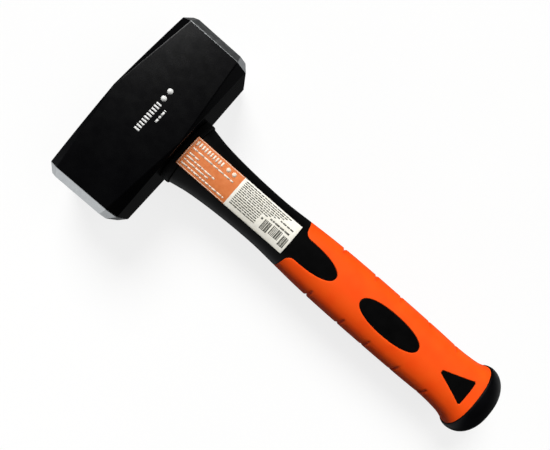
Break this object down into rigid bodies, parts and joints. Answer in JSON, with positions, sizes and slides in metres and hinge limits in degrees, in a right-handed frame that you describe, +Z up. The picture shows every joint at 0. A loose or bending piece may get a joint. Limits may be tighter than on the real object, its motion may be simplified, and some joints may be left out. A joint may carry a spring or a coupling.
{
  "type": "club hammer",
  "caption": "Short-handled sledgehammer with a chamfered black forged head and a moulded neck that ends in a soft orange grip with black inlays and a flared butt cap.",
  "frame": {"origin": "on the lower cheek of the head, straight below the centre of the eye", "axes": "+X along the handle towards the butt, +Y along the striking axis, +Z up from the lower cheek to the upper one"},
  "size_m": [0.2781, 0.112, 0.045],
  "materials": {
    "head_enamel": "satin",
    "ground_steel": "brushed",
    "cast_resin": "gloss",
    "gasket_rubber": "matte",
    "fibreglass": "matte",
    "jacket_plastic": "satin",
    "grip_rubber": "matte",
    "inlay_rubber": "matte",
    "cap_plastic": "satin",
    "label_paper": "satin",
    "print_white": "satin"
  },
  "bodies": {
    "root": {"head": "head_enamel", "eye_resin": "cast_resin", "eye_gasket": "gasket_rubber", "core_rod": "fibreglass", "handle_jacket": "jacket_plastic", "grip_sleeve": "grip_rubber", "oval_inlay_front": "inlay_rubber", "oval_inlay_back": "inlay_rubber", "triangle_inlay_front": "inlay_rubber", "triangle_inlay_back": "inlay_rubber", "butt_cap": "cap_plastic", "label": "label_paper"}
  },
  "joints": []
}
